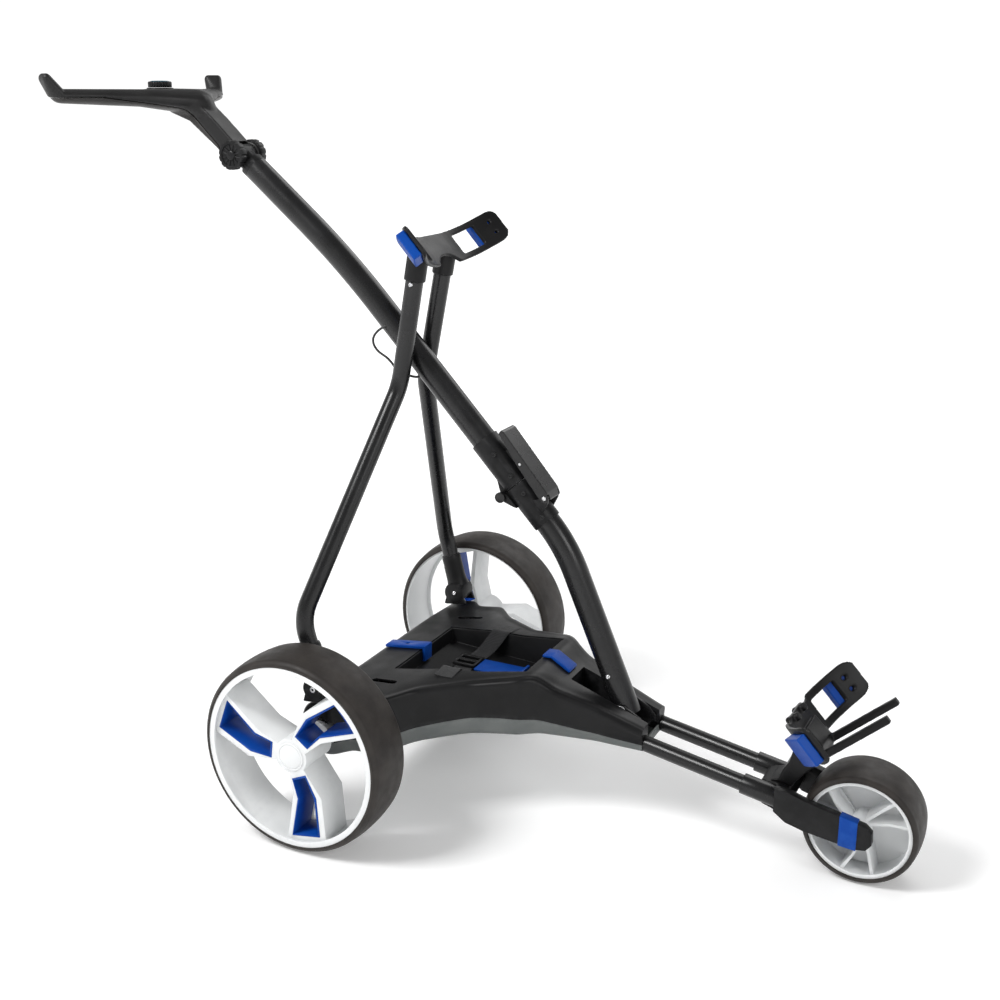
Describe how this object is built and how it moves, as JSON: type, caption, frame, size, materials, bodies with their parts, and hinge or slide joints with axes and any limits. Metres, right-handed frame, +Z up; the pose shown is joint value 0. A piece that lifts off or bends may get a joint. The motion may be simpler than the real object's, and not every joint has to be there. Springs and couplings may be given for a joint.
{
  "type": "electric golf trolley",
  "caption": "Folding electric golf trolley with a curved shaft, splayed stays, two bag cradles, a battery chassis and a T-shaped handle.",
  "frame": {"origin": "centre of the trolley's bounding box, on the floor", "axes": "+X forward, +Y to the trolley's left, +Z up"},
  "size_m": [1.239, 0.623, 1.0219],
  "materials": {
    "frame_black": "satin",
    "housing_black": "matte",
    "handle_skin": "matte",
    "undertray_grey": "matte",
    "accent_blue": "gloss",
    "rim_white": "gloss",
    "tyre_rubber": "matte",
    "steel": "brushed",
    "motor_can": "satin",
    "bush_plastic": "matte",
    "webbing": "matte",
    "cable_jacket": "matte",
    "dial_teal": "gloss"
  },
  "bodies": {
    "chassis": {"chassis_shell": "housing_black", "chassis_undertray": "undertray_grey", "battery_tray": "housing_black", "tray_pad": "accent_blue", "tray_clip_rear": "accent_blue", "tray_clip_front": "accent_blue", "battery_strap": "webbing", "strap_buckle": "housing_black", "battery_socket": "housing_black", "controller_box": "housing_black", "motor_body": "motor_can", "gearbox_case": "housing_black", "axle_bearings": "steel", "stay_brackets": "housing_black", "shaft_bracket": "frame_black", "shaft_pivot_pin": "steel", "fork_tubes": "frame_black", "fork_head": "housing_black", "fork_legs": "housing_black", "leg_bands": "accent_blue", "front_axle": "steel", "lower_cradle": "housing_black", "lower_cradle_pads": "accent_blue", "chassis_screws": "steel"},
    "drive_axle": {"rear_axle": "steel", "drive_gear": "steel"},
    "motor_rotor": {"motor_pinion": "steel"},
    "wheel_left": {"tyre_left": "tyre_rubber", "rim_left": "rim_white", "liners_left": "accent_blue", "hub_cap_left": "rim_white"},
    "wheel_right": {"tyre_right": "tyre_rubber", "rim_right": "rim_white", "liners_right": "accent_blue", "hub_cap_right": "rim_white"},
    "front_wheel": {"front_tyre": "tyre_rubber", "front_rim": "rim_white", "front_bushes": "bush_plastic"},
    "lower_shaft": {"lower_tube": "frame_black", "lower_clamp": "housing_black", "hinge_pin": "frame_black", "lower_clamp_screws": "frame_black"},
    "latch": {"latch_lever": "frame_black", "latch_pin": "steel"},
    "upper_shaft": {"upper_tube": "frame_black", "upper_clamp": "housing_black", "upper_clamp_screws": "frame_black", "shaft_cable": "cable_jacket", "shaft_head": "housing_black"},
    "stays": {"stay_left": "frame_black", "stay_right": "frame_black", "stay_feet": "housing_black", "upper_cradle": "housing_black", "upper_cradle_pads": "accent_blue"},
    "handle": {"handle_top": "handle_skin", "handle_bottom": "handle_skin", "dial_base": "housing_black"},
    "dial": {"speed_dial": "dial_teal"},
    "knob_left": {"tilt_knob_left": "housing_black"},
    "knob_right": {"tilt_knob_right": "housing_black"}
  },
  "joints": [
    {"name": "axle_spin", "type": "hinge", "parent": "chassis", "child": "drive_axle", "pos_m": [-0.1535, 0, 0.14], "axis": [0, 1, 0], "continuous": true},
    {"name": "pinion_spin", "type": "hinge", "parent": "chassis", "child": "motor_rotor", "pos_m": [-0.1145, 0, 0.14], "axis": [0, 1, 0], "continuous": true},
    {"name": "wheel_left_spin", "type": "hinge", "parent": "drive_axle", "child": "wheel_left", "pos_m": [-0.1535, 0.2725, 0.14], "axis": [0, 1, 0], "continuous": true},
    {"name": "wheel_right_spin", "type": "hinge", "parent": "drive_axle", "child": "wheel_right", "pos_m": [-0.1535, -0.2725, 0.14], "axis": [0, 1, 0], "continuous": true},
    {"name": "front_wheel_spin", "type": "hinge", "parent": "chassis", "child": "front_wheel", "pos_m": [0.5425, 0, 0.077], "axis": [0, 1, 0], "continuous": true},
    {"name": "fold_lower", "type": "hinge", "parent": "chassis", "child": "lower_shaft", "pos_m": [0.2067, 0, 0.16589], "axis": [0, 1, 0], "range_deg": [0, 80]},
    {"name": "fold_upper", "type": "hinge", "parent": "lower_shaft", "child": "upper_shaft", "pos_m": [0.01822, 0, 0.44995], "axis": [0, 1, 0], "range_deg": [-130.66, 0]},
    {"name": "fold_stays", "type": "hinge", "parent": "chassis", "child": "stays", "pos_m": [-0.1662, 0, 0.203], "axis": [0, 1, 0], "range_deg": [0, 56.5]},
    {"name": "latch_open", "type": "hinge", "parent": "lower_shaft", "child": "latch", "pos_m": [0.08426, 0, 0.45684], "axis": [0, 1, 0], "range_deg": [0, 84]},
    {"name": "handle_tilt", "type": "hinge", "parent": "upper_shaft", "child": "handle", "pos_m": [-0.41417, 0, 0.90819], "axis": [0, 1, 0], "range_deg": [-25, 30]},
    {"name": "dial_turn", "type": "hinge", "parent": "handle", "child": "dial", "pos_m": [-0.5605, 0, 1.006], "axis": [0, 0, 1], "range_deg": [0, 270]},
    {"name": "knob_left_turn", "type": "hinge", "parent": "handle", "child": "knob_left", "pos_m": [-0.41417, 0.025, 0.90819], "axis": [0, 1, 0], "continuous": true},
    {"name": "knob_right_turn", "type": "hinge", "parent": "handle", "child": "knob_right", "pos_m": [-0.41417, -0.025, 0.90819], "axis": [0, 1, 0], "continuous": true}
  ],
  "couplings": [
    {"joint": "pinion_spin", "follows": "axle_spin", "ratio": -3.3333},
    {"joint": "fold_upper", "follows": "fold_lower", "ratio": -1.6326},
    {"joint": "fold_stays", "follows": "fold_lower", "ratio": 0.70557}
  ]
}
